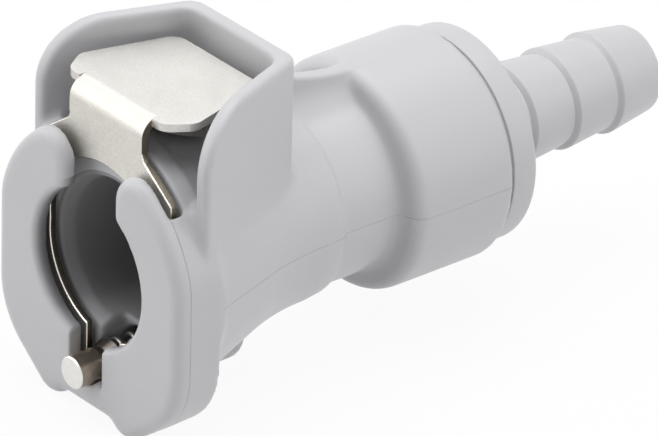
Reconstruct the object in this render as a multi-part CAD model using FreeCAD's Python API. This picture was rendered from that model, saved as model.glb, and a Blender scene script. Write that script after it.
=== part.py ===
import FreeCAD, Part
import math
import os

# Quick-disconnect coupling body with a thumb latch and a hose barb.
# The bore axis runs along +Y from the mouth, whose face lies at Y = 0, to the barb.
# +Z points up to the thumb pad, and the origin is on the bore axis at the mouth face.
# All sizes are in millimetres.

# Head: the block round the mouth, with a slot across it for the latch plate
HEAD_HALF_WIDTH = 10.5
HEAD_TOP_BULGE = 0.25
HEAD_DEPTH = 4.0
FRONT_WALL = 1.15
SLOT_GAP = 1.4
SHOULDER_DROP = 4.6
CORNER_RADIUS = 6.5
SHOULDER_RADIUS = 6.0
LOBE_RADIUS = 1.9
LOBE_X = 4.3
LOBE_BOTTOM = 12.1
WEB_BOTTOM = 11.3
WEB_FILLET = 1.0
FRONT_ROUNDING = 0.85

# Mouth: the split opening that the mating insert enters
MOUTH_RADIUS = 6.05
MOUTH_CHAMFER = 0.3
ARM_END_X = 2.75
ARM_TIP_RADIUS = 2.2
ARM_TIP_Z = 6.97
PIN_SLOT_HALF = 1.87
PIN_SLOT_BOTTOM = 9.95
CRADLE_HALF = 1.2
CRADLE_TOP = -8.6

# Bores behind the latch plate
ENTRY_RADIUS = 6.36
ENTRY_CONE = 1.05
SOCKET_RADIUS = 5.9
SOCKET_DEPTH = 15.5
FLOW_RADIUS = 4.4
SOCKET_FLOOR_CONE = 1.2

# Neck: a cone and a sweep that narrow from the head, then a step
NECK_CONE_SLOPE = 0.32
NECK_ROOT_FILLET = 0.9
NECK_SWEEP_RADIUS = 20.0
NECK_SWEEP_END = 16.4
NECK_RADIUS = 7.6
NECK_STEP_Y = 18.1
NECK_STEP_RADIUS = 7.45
NECK_STEP_ROUNDING = 0.3
THROAT_RADIUS = 7.05

# Collar at the rear of the front housing
COLLAR_START = 23.5
COLLAR_END = 32.6
COLLAR_RADIUS = 8.95
COLLAR_ROUNDING = 1.1
COLLAR_ROOT_FILLET = 0.5
COLLAR_WALL = 1.55
CAVITY_DEPTH = 7.6

# Thumb guard: a U of thin walls round the pad
GUARD_FRONT_Y = 2.75
GUARD_BACK_Y = 14.5
GUARD_FRONT_HALF = 10.15
GUARD_BACK_HALF = 5.8
GUARD_WALL = 1.25
GUARD_TOP = 15.12
GUARD_FRONT_TOP_ARC = 3.6
GUARD_BACK_CORNER = 1.5
GUARD_RIM_ROUNDING = 0.45
GUARD_ROOT_Z = 3.0
GUARD_ROOT_FILLET = 0.6

# Gusset between the guard's back wall and the collar
GUSSET_TOP_HALF = 0.65
GUSSET_SIDE_RADIUS = 2.7
GUSSET_GUARD_Z = 12.3

# Pocket lug under the neck for the lock pin and its spring
PIN_Z = -8.1
LUG_RADIUS = 3.15
LUG_END_RADIUS = 3.0
LUG_END_Y = 12.7
LUG_END_WALL = 1.5
LUG_ROUNDING = 0.6
LUG_ROOT_FILLET = 0.6

# Lock pin
PIN_RADIUS = 1.25
PIN_NOSE_Y = -1.25
PIN_NOSE_CHAMFER = 0.1
PIN_CONE_START = 1.4
PIN_CONE_END = 2.3
PIN_COLLAR_RADIUS = 1.6
PIN_COLLAR_END = 2.5
PIN_TAIL_RADIUS = 0.85
PIN_TAIL_LENGTH = 5.0
PIN_CLEARANCE = 0.07
PIN_TRAVEL = 1.2

# Coil spring behind the pin's collar
SPRING_WIRE = 0.34
SPRING_MEAN_RADIUS = 1.22
SPRING_PITCH = 1.3
SPRING_END_GAP = 0.05

# Thumb latch, stamped and folded from one sheet
SHEET = 0.62
PLATE_GAP = 0.45
LATCH_TRAVEL = 1.6
LATCH_HOLE_RADIUS = 6.3
LATCH_HOLE_TOP_RISE = 1.4
LATCH_HOLE_Z = 0.25
LATCH_HALF_WIDTH = 7.55
LATCH_SHOULDER_Z = 7.75
LATCH_NECK_HALF = 4.15
LATCH_NECK_Z = 10.2
LATCH_NECK_FILLET = 0.9
LATCH_CORNER_Z = -5.6
LATCH_FOOT_HALF = 4.2
LATCH_FOOT_Z = -10.35
LATCH_SLOT_MARGIN = 0.3
FORK_HALF = 1.86
HOOK_HALF = 1.42
HOOK_TOP_DROP = 0.95
BEND_RADIUS = 1.5

# Thumb pad and the leaf under it
PAD_TOP = 13.25
PAD_EAR_Y = 2.45
PAD_EAR_HALF = 5.4
PAD_WIDE_Y = 4.5
PAD_WIDE_HALF = 6.75
PAD_BACK_Y = 11.92
PAD_BACK_HALF = 4.75
PAD_CORNER_RADIUS = 1.3
LEAF_HALF = 2.9
LEAF_FOLD_GAP = 0.5
LEAF_LOW_Y = 8.2
LEAF_LOW_CLEARANCE = 0.15
LEAF_TIP_Y = 4.6
LEAF_TIP_DROP = 1.25
LEAF_LOW_LIFT = 0.42
LEAF_TIP_LIFT = 0.7

# Barb end: spigot, flange and hose barb in one moulding
SPIGOT_CLEARANCE = 0.05
SPIGOT_END_GAP = 0.3
FLANGE_GROOVE_RADIUS = 7.9
FLANGE_GROOVE = 0.6
FLANGE_RADIUS = 8.35
FLANGE_END = 35.4
FLANGE_ROUNDING = 0.35
BARB_VALLEY_RADIUS = 3.6
BARB_CREST_RADIUS = 3.97
BARB_FIRST_CREST = 39.3
BARB_PITCH = 4.2
BARB_TEETH = 3
BARB_STEP_RUN = 0.35
BARB_TIP_RADIUS = 3.35
BARB_TIP_ROUNDING = 0.55
BARB_END_Y = 52.0
BARB_ROOT_FILLET = 0.5
BARB_BORE_RADIUS = 2.4
BARB_BORE_MOUTH = 3.6

# Seal ring in a groove of the spigot
SEAL_SECTION = 1.5
SEAL_Y = 28.6
SEAL_GROOVE_SPARE = 0.2

# Values that follow from the sizes above
HEAD_TOP_RADIUS = HEAD_HALF_WIDTH + HEAD_TOP_BULGE
SLOT_FRONT = FRONT_WALL
SLOT_BACK = FRONT_WALL + SLOT_GAP
PLATE_FRONT = FRONT_WALL + PLATE_GAP
PLATE_BACK = PLATE_FRONT + SHEET
CAVITY_RADIUS = COLLAR_RADIUS - COLLAR_WALL
CAVITY_FLOOR = COLLAR_END - CAVITY_DEPTH
CHANNEL_RADIUS = PIN_COLLAR_RADIUS + PIN_CLEARANCE
CHANNEL_END = LUG_END_Y - LUG_END_WALL
BIG = 60.0


def point(x, y, z):
    """Return a vector."""
    return FreeCAD.Vector(x, y, z)


def line(a, b):
    """Return the straight edge from a to b."""
    return Part.LineSegment(a, b).toShape()


def arc(a, through, b):
    """Return the arc edge from a to b that passes through a third point."""
    return Part.Arc(a, through, b).toShape()


def xz(x, z):
    """Return a point of the XZ plane."""
    return point(x, 0, z)


def on_circle(centre_x, centre_z, radius, angle):
    """Return the point of a circle in the XZ plane at an angle in degrees."""
    turn = math.radians(angle)
    return xz(centre_x + radius * math.cos(turn), centre_z + radius * math.sin(turn))


def arc_about(centre_x, centre_z, radius, start, end):
    """Return the arc of a circle in the XZ plane between two angles in degrees."""
    middle = (start + end) / 2
    return arc(
        on_circle(centre_x, centre_z, radius, start),
        on_circle(centre_x, centre_z, radius, middle),
        on_circle(centre_x, centre_z, radius, end),
    )


def mirrored(edges):
    """Return edges mirrored in the YZ plane."""
    return [edge.mirror(point(0, 0, 0), point(1, 0, 0)) for edge in edges]


def closed(edges):
    """Return one wire from edges in any order."""
    return Part.Wire(Part.__sortEdges__(edges))


def prism_y(edges, start, end):
    """Return the solid of an XZ outline between two values of Y."""
    face = Part.Face(closed(edges))
    face.translate(point(0, start, 0))
    return face.extrude(point(0, end - start, 0))


def rod(radius, start, end, z=0.0):
    """Return a cylinder along Y."""
    return Part.makeCylinder(radius, end - start, point(0, start, z), point(0, 1, 0))


def revolved(points, z=0.0):
    """Return the solid of (y, radius) points turned about the axis along Y at a height z."""
    corners = [point(radius, y, 0) for y, radius in points]
    wire = Part.makePolygon(corners + corners[:1])
    solid = Part.Face(wire).revolve(point(0, 0, 0), point(0, 1, 0), 360)
    solid.translate(point(0, 0, z))
    return solid


def revolved_edges(edges):
    """Return the solid of closed edges in the XY plane turned about the bore axis."""
    return Part.Face(closed(edges)).revolve(point(0, 0, 0), point(0, 1, 0), 360)


def box(x0, x1, y0, y1, z0, z1):
    """Return a box from its limits."""
    return Part.makeBox(x1 - x0, y1 - y0, z1 - z0, point(x0, y0, z0))


def edges_at_y(shape, y, tolerance=1e-4):
    """Return the edges of a shape that lie in one plane across the bore axis."""
    found = []
    for edge in shape.Edges:
        bounds = edge.BoundBox
        if abs(bounds.YMin - y) < tolerance and abs(bounds.YMax - y) < tolerance:
            found.append(edge)
    return found


def rings(shape, y, radius):
    """Return the edges of a shape that are circles of one radius in one plane across the bore."""
    found = []
    for edge in edges_at_y(shape, y):
        if abs(edge.BoundBox.XLength / 2 - radius) < 1e-3:
            found.append(edge)
    return found


def edge_middle(edge):
    """Return the point halfway along an edge."""
    return edge.valueAt((edge.FirstParameter + edge.LastParameter) / 2)


def hollow_edges(shape):
    """Return the edges of a shape at which two faces meet in a hollow corner."""
    found = []
    for edge in shape.Edges:
        faces = shape.ancestorsOfType(edge, Part.Face)
        if len(faces) != 2:
            continue
        middle = edge_middle(edge)
        first, second = [face.normalAt(*face.Surface.parameter(middle)) for face in faces]
        if math.degrees(first.getAngle(second)) < 8:
            continue
        step = (first - second) * 0.01
        if shape.isInside(middle + step, 1e-6, False) and shape.isInside(middle - step, 1e-6, False):
            found.append(edge)
    return found


def shoulder_centre():
    """Return the centre of the arc that blends the head's straight side into its round top."""
    x = HEAD_HALF_WIDTH - SHOULDER_RADIUS
    return xz(x, math.sqrt((HEAD_TOP_RADIUS - SHOULDER_RADIUS) ** 2 - x**2))


def shoulder_angle():
    """Return the angle at which the shoulder arc meets the round top."""
    centre = shoulder_centre()
    return math.degrees(math.atan2(centre.z, centre.x))


def tangent_to_lobe():
    """Return the angle of the line that touches the corner arc and the lobe arc."""
    corner_x = HEAD_HALF_WIDTH - CORNER_RADIUS
    corner_z = -SHOULDER_DROP
    lobe_z = -LOBE_BOTTOM + LOBE_RADIUS
    across = corner_x - LOBE_X
    up = corner_z - lobe_z
    gap = math.hypot(across, up)
    lean = math.degrees(math.atan2(up, across))
    return lean - 90 - math.degrees(math.asin((CORNER_RADIUS - LOBE_RADIUS) / gap))


def lower_half_outline():
    """Return the right half of the head's outline, from its round top down to the middle."""
    corner_x = HEAD_HALF_WIDTH - CORNER_RADIUS
    lobe_z = -LOBE_BOTTOM + LOBE_RADIUS
    turn = tangent_to_lobe()
    corner_end = on_circle(corner_x, -SHOULDER_DROP, CORNER_RADIUS, turn)
    lobe_start = on_circle(LOBE_X, lobe_z, LOBE_RADIUS, turn)
    drop = LOBE_RADIUS - (LOBE_BOTTOM - WEB_BOTTOM) + WEB_FILLET
    reach = LOBE_RADIUS + WEB_FILLET
    across = math.sqrt(reach**2 - drop**2)
    inner = -180 + math.degrees(math.asin(drop / reach))
    web_x = LOBE_X - across
    shoulder = shoulder_centre()
    return [
        arc_about(shoulder.x, shoulder.z, SHOULDER_RADIUS, shoulder_angle(), 0),
        line(xz(HEAD_HALF_WIDTH, shoulder.z), xz(HEAD_HALF_WIDTH, -SHOULDER_DROP)),
        arc_about(corner_x, -SHOULDER_DROP, CORNER_RADIUS, 0, turn),
        line(corner_end, lobe_start),
        arc_about(LOBE_X, lobe_z, LOBE_RADIUS, turn, inner),
        arc_about(web_x, lobe_z - drop, WEB_FILLET, inner + 180, 90),
        line(xz(web_x, -WEB_BOTTOM), xz(0, -WEB_BOTTOM)),
    ]


def head_outline():
    """Return the edges of the head's full outline."""
    half = lower_half_outline()
    turn = shoulder_angle()
    return half + mirrored(half) + [arc_about(0, 0, HEAD_TOP_RADIUS, turn, 180 - turn)]


def arm_tip_angle():
    """Return the angle, seen from the arm tip's centre, at which the tip runs into the head's top arc."""
    centre_x = ARM_END_X + ARM_TIP_RADIUS
    return math.degrees(math.atan2(ARM_TIP_Z, centre_x))


def front_wall():
    """Return the C-shaped wall in front of the latch slot, with its outer edge rounded."""
    centre_x = ARM_END_X + ARM_TIP_RADIUS
    reach = math.hypot(centre_x, ARM_TIP_Z)
    tip_radius = HEAD_TOP_RADIUS - reach
    turn = arm_tip_angle()
    tip = on_circle(centre_x, ARM_TIP_Z, tip_radius, turn)
    inner_x = centre_x - tip_radius
    outer = lower_half_outline()
    outer.append(arc_about(0, 0, HEAD_TOP_RADIUS, shoulder_angle(), turn))
    outer.append(arc_about(centre_x, ARM_TIP_Z, tip_radius, turn, 180))
    outer.append(line(xz(inner_x, ARM_TIP_Z), xz(inner_x, 0)))
    gap_end = arc(xz(inner_x, 0), xz(0, -inner_x), xz(-inner_x, 0))
    wall = prism_y(outer + mirrored(outer) + [gap_end], 0, FRONT_WALL)
    wall = wall.makeFillet(FRONT_ROUNDING, edges_at_y(wall, 0))
    mouth = revolved(
        [
            (-1, 0),
            (-1, MOUTH_RADIUS + MOUTH_CHAMFER + 1),
            (MOUTH_CHAMFER, MOUTH_RADIUS),
            (FRONT_WALL + 1, MOUTH_RADIUS),
            (FRONT_WALL + 1, 0),
        ]
    )
    return wall.cut([mouth, pin_slot()])


def pin_slot():
    """Return the slot under the mouth that shows the pin, with a cradle left standing under it."""
    right = [
        xz(CRADLE_HALF, CRADLE_TOP),
        xz(PIN_SLOT_HALF, -PIN_SLOT_BOTTOM),
        xz(PIN_SLOT_HALF, 0),
    ]
    left = [xz(-p.x, p.z) for p in reversed(right)]
    face = Part.Face(Part.makePolygon(right + left + right[:1]))
    face.translate(point(0, -1, 0))
    return face.extrude(point(0, FRONT_WALL + 2, 0))


def latch_half_outline(margin):
    """Return the corners of the right half of the latch plate below its neck, grown by a margin."""
    return [
        xz(LATCH_HALF_WIDTH + margin, LATCH_SHOULDER_Z),
        xz(LATCH_HALF_WIDTH + margin, LATCH_CORNER_Z - margin * 0.4),
        xz(LATCH_FOOT_HALF + margin * 0.5, LATCH_FOOT_Z - margin),
    ]


def latch_slot():
    """Return the space that the latch plate slides in, open at the top."""
    side, corner, foot = latch_half_outline(LATCH_SLOT_MARGIN)
    top = xz(side.x, BIG)
    ring = [top, side, corner, foot]
    left = [xz(-p.x, p.z) for p in reversed(ring)]
    wire = Part.makePolygon(ring + left + ring[:1])
    face = Part.Face(wire)
    face.translate(point(0, SLOT_FRONT, 0))
    return face.extrude(point(0, SLOT_BACK - SLOT_FRONT, 0))


def neck_outline():
    """Return the (y, radius) edges of the neck and collar, outside only, closed on the axis."""
    angle = math.atan(NECK_CONE_SLOPE)
    sweep_start_y = NECK_SWEEP_END - NECK_SWEEP_RADIUS * math.sin(angle)
    sweep_start_r = NECK_RADIUS + NECK_SWEEP_RADIUS * (1 - math.cos(angle))
    cone_r = sweep_start_r + NECK_CONE_SLOPE * (sweep_start_y - SLOT_BACK)
    half = angle / 2
    sweep_mid = point(
        NECK_RADIUS + NECK_SWEEP_RADIUS * (1 - math.cos(half)),
        NECK_SWEEP_END - NECK_SWEEP_RADIUS * math.sin(half),
        0,
    )
    lean = math.hypot(1, NECK_CONE_SLOPE)
    head_r = cone_r - NECK_CONE_SLOPE * (HEAD_DEPTH - SLOT_BACK)
    root_y = HEAD_DEPTH + NECK_ROOT_FILLET
    root_r = head_r + NECK_ROOT_FILLET * (lean - NECK_CONE_SLOPE)
    start = point(0, SLOT_BACK, 0)
    flare_top = point(root_r, SLOT_BACK, 0)
    flare_edge = point(root_r, HEAD_DEPTH, 0)
    turn = (math.pi / 2 - angle) / 2
    flare_mid = point(
        root_r - NECK_ROOT_FILLET * math.sin(turn),
        root_y - NECK_ROOT_FILLET * math.cos(turn),
        0,
    )
    cone_start = point(
        root_r - NECK_ROOT_FILLET / lean,
        root_y - NECK_ROOT_FILLET * NECK_CONE_SLOPE / lean,
        0,
    )
    cone_end = point(sweep_start_r, sweep_start_y, 0)
    sweep_end = point(NECK_RADIUS, NECK_SWEEP_END, 0)
    brink = NECK_STEP_ROUNDING
    step_top = point(NECK_STEP_RADIUS, NECK_STEP_Y - brink, 0)
    step_mid = point(
        NECK_STEP_RADIUS - brink * (1 - math.cos(math.pi / 4)),
        NECK_STEP_Y - brink * (1 - math.sin(math.pi / 4)),
        0,
    )
    step_edge = point(NECK_STEP_RADIUS - brink, NECK_STEP_Y, 0)
    step_foot = point(THROAT_RADIUS, NECK_STEP_Y, 0)
    root = COLLAR_ROOT_FILLET
    rounding = COLLAR_ROUNDING
    root_start = point(THROAT_RADIUS, COLLAR_START - root, 0)
    root_mid = point(
        THROAT_RADIUS + root * (1 - math.cos(math.pi / 4)),
        COLLAR_START - root * (1 - math.sin(math.pi / 4)),
        0,
    )
    root_end = point(THROAT_RADIUS + root, COLLAR_START, 0)
    face_end = point(COLLAR_RADIUS - rounding, COLLAR_START, 0)
    round_mid = point(
        COLLAR_RADIUS - rounding * (1 - math.sin(math.pi / 4)),
        COLLAR_START + rounding * (1 - math.cos(math.pi / 4)),
        0,
    )
    round_end = point(COLLAR_RADIUS, COLLAR_START + rounding, 0)
    rim = point(COLLAR_RADIUS, COLLAR_END, 0)
    end = point(0, COLLAR_END, 0)
    edges = [line(start, flare_top), line(flare_top, flare_edge)]
    edges += [arc(flare_edge, flare_mid, cone_start), line(cone_start, cone_end)]
    edges += [arc(cone_end, sweep_mid, sweep_end)]
    edges += [line(sweep_end, step_top), arc(step_top, step_mid, step_edge)]
    edges += [line(step_edge, step_foot), line(step_foot, root_start)]
    edges += [arc(root_start, root_mid, root_end), line(root_end, face_end)]
    edges += [arc(face_end, round_mid, round_end), line(round_end, rim), line(rim, end), line(end, start)]
    return edges


def guard_slope():
    """Return how fast the guard's side walls draw together towards the rear."""
    return (GUARD_FRONT_HALF - GUARD_BACK_HALF) / (GUARD_BACK_Y - GUARD_FRONT_Y)


def guard_root(shape):
    """Return the hollow edges at the outer foot of the guard on a shape that holds it."""
    found = []
    for edge in hollow_edges(shape):
        middle = edge_middle(edge)
        reach = GUARD_FRONT_HALF - guard_slope() * (middle.y - GUARD_FRONT_Y) - GUARD_WALL / 3
        behind = middle.y > GUARD_BACK_Y - GUARD_WALL / 3
        if middle.z > GUARD_ROOT_Z and HEAD_DEPTH < middle.y < GUARD_BACK_Y + 0.1:
            if behind or abs(middle.x) > reach:
                found.append(edge)
    return found


def lug_root(shape):
    """Return the hollow edges along the sides and end of the lug on a shape that holds it."""
    found = []
    for edge in hollow_edges(shape):
        middle = edge_middle(edge)
        if middle.z < PIN_Z + 1 and abs(middle.x) < LUG_RADIUS and HEAD_DEPTH < middle.y < LUG_END_Y + 0.1:
            found.append(edge)
    return found


def guard():
    """Return the U-shaped thumb guard, its rim rounded and its foot buried in the neck."""
    slope = guard_slope()
    lean = math.hypot(1, slope)
    inner_front = GUARD_FRONT_HALF - GUARD_WALL * lean
    inner_back_y = GUARD_BACK_Y - GUARD_WALL
    inner_back = inner_front - slope * (inner_back_y - GUARD_FRONT_Y)
    outer = [
        point(GUARD_FRONT_HALF, GUARD_FRONT_Y, 0),
        point(GUARD_BACK_HALF, GUARD_BACK_Y, 0),
        point(-GUARD_BACK_HALF, GUARD_BACK_Y, 0),
        point(-GUARD_FRONT_HALF, GUARD_FRONT_Y, 0),
    ]
    inner = [
        point(-inner_front, GUARD_FRONT_Y, 0),
        point(-inner_back, inner_back_y, 0),
        point(inner_back, inner_back_y, 0),
        point(inner_front, GUARD_FRONT_Y, 0),
    ]
    plan = Part.Face(Part.makePolygon(outer + inner + outer[:1]))
    plan.translate(point(0, 0, GUARD_ROOT_Z))
    walls = plan.extrude(point(0, 0, GUARD_TOP - GUARD_ROOT_Z))
    upright = []
    for edge in walls.Edges:
        bounds = edge.BoundBox
        if bounds.ZLength > 1 and bounds.YMin > inner_back_y - 0.01:
            upright.append(edge)
    walls = walls.makeFillet(GUARD_BACK_CORNER, upright)
    arc_y = GUARD_FRONT_Y + GUARD_FRONT_TOP_ARC
    arc_z = GUARD_TOP - GUARD_FRONT_TOP_ARC
    diagonal = GUARD_FRONT_TOP_ARC * math.sin(math.pi / 4)
    low_front = point(0, GUARD_FRONT_Y, GUARD_ROOT_Z)
    side = [
        line(low_front, point(0, GUARD_FRONT_Y, arc_z)),
        arc(
            point(0, GUARD_FRONT_Y, arc_z),
            point(0, arc_y - diagonal, arc_z + diagonal),
            point(0, arc_y, GUARD_TOP),
        ),
        line(point(0, arc_y, GUARD_TOP), point(0, GUARD_BACK_Y, GUARD_TOP)),
        line(point(0, GUARD_BACK_Y, GUARD_TOP), point(0, GUARD_BACK_Y, GUARD_ROOT_Z)),
        line(point(0, GUARD_BACK_Y, GUARD_ROOT_Z), low_front),
    ]
    profile = Part.Face(closed(side))
    profile.translate(point(-BIG / 2, 0, 0))
    walls = walls.common(profile.extrude(point(BIG, 0, 0)))
    rim = []
    for edge in walls.Edges:
        bounds = edge.BoundBox
        on_top = bounds.ZMin > GUARD_TOP - 0.01
        on_front = bounds.YMax < arc_y + 0.01 and bounds.ZMax > GUARD_ROOT_Z + 1 and edge.Length > 2
        if on_top or on_front:
            rim.append(edge)
    return walls.makeFillet(GUARD_RIM_ROUNDING, rim)


def gusset():
    """Return the ridge with hollow sides that joins the guard's back wall to the collar."""
    start_y = GUARD_BACK_Y - GUARD_WALL / 2
    end_y = COLLAR_START + COLLAR_ROUNDING
    end_z = COLLAR_RADIUS
    foot_z = THROAT_RADIUS - 1.2
    span = end_y - start_y
    rise = GUSSET_GUARD_Z - end_z
    radius = (span**2 + rise**2) / (2 * rise)
    turn = math.atan2(rise, span)
    middle = point(0, end_y - radius * math.sin(turn), end_z + radius * (1 - math.cos(turn)))
    top = arc(point(0, start_y, GUSSET_GUARD_Z), middle, point(0, end_y, end_z))
    low_end = point(0, end_y, foot_z)
    low_start = point(0, start_y, foot_z)
    edges = [top, line(point(0, end_y, end_z), low_end), line(low_end, low_start)]
    edges.append(line(low_start, point(0, start_y, GUSSET_GUARD_Z)))
    centre_x = GUSSET_TOP_HALF + GUSSET_SIDE_RADIUS
    reach = THROAT_RADIUS + GUSSET_SIDE_RADIUS
    waist_z = math.sqrt(reach**2 - centre_x**2)
    half = centre_x * THROAT_RADIUS / reach
    side = Part.Face(closed(edges))
    side.translate(point(-half, 0, 0))
    ridge = side.extrude(point(2 * half, 0, 0))
    for sign in (-1, 1):
        hollow = Part.makeCylinder(
            GUSSET_SIDE_RADIUS,
            BIG,
            point(sign * centre_x, -1, waist_z),
            point(0, 1, 0),
        )
        above = box(0, centre_x, -1, BIG, waist_z, BIG)
        above.translate(point(GUSSET_TOP_HALF, 0, 0))
        if sign < 0:
            above = above.mirror(point(0, 0, 0), point(1, 0, 0))
        ridge = ridge.cut(hollow).cut(above)
    return ridge


def lug():
    """Return the pocket lug of the lock pin, with the draft of its mould."""
    body = revolved(
        [(SLOT_BACK, 0), (SLOT_BACK, LUG_RADIUS), (LUG_END_Y, LUG_END_RADIUS), (LUG_END_Y, 0)],
        PIN_Z,
    )
    return body.makeFillet(LUG_ROUNDING, edges_at_y(body, LUG_END_Y))


def front_housing():
    """Return the front housing: head, neck, guard, gusset, lug and collar in one moulding."""
    outline = head_outline()
    head = prism_y(outline, FRONT_WALL, HEAD_DEPTH)
    neck = revolved_edges(neck_outline())
    flare_limit = prism_y(head_outline(), SLOT_BACK, COLLAR_END + 1)
    body = head.fuse([neck.common(flare_limit), guard()]).removeSplitter()
    body = body.makeFillet(GUARD_ROOT_FILLET, guard_root(body))
    body = body.fuse([lug()]).removeSplitter()
    body = body.makeFillet(LUG_ROOT_FILLET, lug_root(body))
    body = body.fuse([gusset()]).cut(latch_slot())
    body = body.fuse(front_wall()).removeSplitter()
    cone_end = SLOT_BACK + ENTRY_CONE
    bore = revolved(
        [
            (SLOT_FRONT + 0.01, 0),
            (SLOT_FRONT + 0.01, MOUTH_RADIUS),
            (SLOT_BACK, ENTRY_RADIUS),
            (cone_end, SOCKET_RADIUS),
            (SOCKET_DEPTH, SOCKET_RADIUS),
            (SOCKET_DEPTH + SOCKET_FLOOR_CONE, FLOW_RADIUS),
            (CAVITY_FLOOR, FLOW_RADIUS),
            (CAVITY_FLOOR, CAVITY_RADIUS),
            (COLLAR_END + 1, CAVITY_RADIUS),
            (COLLAR_END + 1, 0),
        ]
    )
    channel = rod(CHANNEL_RADIUS, SLOT_BACK - 0.01, CHANNEL_END, PIN_Z)
    half = CHANNEL_RADIUS * 0.8
    window = box(-half, half, SLOT_BACK - 0.01, cone_end + 1.2, PIN_Z, -SOCKET_RADIUS + 1)
    pin_hole = rod(PIN_RADIUS + PIN_CLEARANCE, -1, SLOT_FRONT + 0.01, PIN_Z)
    return body.cut([bore, channel, window, pin_hole])


def barb_outline():
    """Return the (y, radius) points of the barb end's outside and bore."""
    spigot_radius = CAVITY_RADIUS - SPIGOT_CLEARANCE
    groove_floor = CAVITY_RADIUS - SEAL_SECTION
    groove_half = SEAL_SECTION / 2 + SEAL_GROOVE_SPARE
    points = [
        (CAVITY_FLOOR + SPIGOT_END_GAP, FLOW_RADIUS),
        (CAVITY_FLOOR + SPIGOT_END_GAP, spigot_radius),
        (SEAL_Y - groove_half, spigot_radius),
        (SEAL_Y - groove_half, groove_floor),
        (SEAL_Y + groove_half, groove_floor),
        (SEAL_Y + groove_half, spigot_radius),
        (COLLAR_END, spigot_radius),
        (COLLAR_END, FLANGE_GROOVE_RADIUS),
        (COLLAR_END + FLANGE_GROOVE, FLANGE_GROOVE_RADIUS),
        (COLLAR_END + FLANGE_GROOVE, FLANGE_RADIUS),
        (FLANGE_END, FLANGE_RADIUS),
        (FLANGE_END, BARB_VALLEY_RADIUS),
    ]
    for tooth in range(BARB_TEETH):
        crest = BARB_FIRST_CREST + tooth * BARB_PITCH
        points.append((crest - BARB_STEP_RUN, BARB_VALLEY_RADIUS))
        points.append((crest, BARB_CREST_RADIUS))
    points.append((BARB_END_Y, BARB_TIP_RADIUS))
    points.append((BARB_END_Y, BARB_BORE_RADIUS))
    points.append((FLANGE_END - BARB_BORE_MOUTH, BARB_BORE_RADIUS))
    return points


def barb_end():
    """Return the barb end: spigot, grooved flange and hose barb, with a bore right through."""
    body = revolved(barb_outline())
    tip = rings(body, BARB_END_Y, BARB_TIP_RADIUS)
    body = body.makeFillet(BARB_TIP_ROUNDING, tip)
    rim = rings(body, FLANGE_END, FLANGE_RADIUS)
    body = body.makeFillet(FLANGE_ROUNDING, rim)
    root = rings(body, FLANGE_END, BARB_VALLEY_RADIUS)
    return body.makeFillet(BARB_ROOT_FILLET, root)


def housing_seal():
    """Return the seal ring between the spigot and the collar."""
    mean = CAVITY_RADIUS - SEAL_SECTION / 2
    return Part.makeTorus(mean, SEAL_SECTION / 2 - 0.02, point(0, SEAL_Y, 0), point(0, 1, 0))


def lock_pin():
    """Return the lock pin: chamfered nose, shank, cone, collar and tail."""
    return revolved(
        [
            (PIN_NOSE_Y, 0),
            (PIN_NOSE_Y, PIN_RADIUS - PIN_NOSE_CHAMFER),
            (PIN_NOSE_Y + PIN_NOSE_CHAMFER, PIN_RADIUS),
            (PIN_CONE_START, PIN_RADIUS),
            (PIN_CONE_END, PIN_COLLAR_RADIUS),
            (PIN_COLLAR_END, PIN_COLLAR_RADIUS),
            (PIN_COLLAR_END, PIN_TAIL_RADIUS),
            (PIN_COLLAR_END + PIN_TAIL_LENGTH, PIN_TAIL_RADIUS),
            (PIN_COLLAR_END + PIN_TAIL_LENGTH, 0),
        ],
        PIN_Z,
    )


def pin_spring():
    """Return the coil spring between the pin's collar and the end of its channel."""
    start = PIN_COLLAR_END + SPRING_END_GAP + SPRING_WIRE / 2
    end = CHANNEL_END - SPRING_END_GAP - SPRING_WIRE / 2
    helix = Part.makeHelix(SPRING_PITCH, end - start, SPRING_MEAN_RADIUS)
    section = Part.Wire(
        Part.makeCircle(SPRING_WIRE / 2, point(SPRING_MEAN_RADIUS, 0, 0), point(0, 1, 0))
    )
    coil = Part.Wire(helix).makePipeShell([section], True, True)
    coil.rotate(point(0, 0, 0), point(1, 0, 0), -90)
    coil.translate(point(0, start, PIN_Z))
    return coil


def latch_plate():
    """Return the flat plate of the latch, with its opening, fork and neck, up to the bend."""
    side, corner, foot = latch_half_outline(0)
    bend_z = PAD_TOP - BEND_RADIUS
    hook_z = PIN_Z - HOOK_TOP_DROP
    right = [
        xz(HOOK_HALF, LATCH_FOOT_Z),
        foot,
        corner,
        side,
        xz(LATCH_NECK_HALF, LATCH_NECK_Z),
        xz(LATCH_NECK_HALF, bend_z),
    ]
    left = [xz(-p.x, p.z) for p in reversed(right)]
    inner = [xz(-HOOK_HALF, hook_z), xz(-FORK_HALF, hook_z), xz(-FORK_HALF, LATCH_HOLE_Z)]
    inner += [xz(FORK_HALF, LATCH_HOLE_Z), xz(FORK_HALF, hook_z), xz(HOOK_HALF, hook_z)]
    face = Part.Face(Part.makePolygon(right + left + inner + right[:1]))
    plate = face.extrude(point(0, SHEET, 0))
    neck_edges = []
    for edge in plate.Edges:
        bounds = edge.BoundBox
        at_neck = abs(bounds.ZMin - LATCH_NECK_Z) < 0.01 and bounds.ZLength < 0.01
        if at_neck and bounds.YLength > SHEET / 2:
            neck_edges.append(edge)
    plate = plate.makeFillet(LATCH_NECK_FILLET, neck_edges)
    plate.translate(point(0, PLATE_FRONT, 0))
    low = rod(LATCH_HOLE_RADIUS, PLATE_FRONT - 1, PLATE_BACK + 1, LATCH_HOLE_Z)
    high = rod(LATCH_HOLE_RADIUS, PLATE_FRONT - 1, PLATE_BACK + 1, LATCH_HOLE_Z + LATCH_HOLE_TOP_RISE)
    return plate.cut([low, high])


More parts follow.
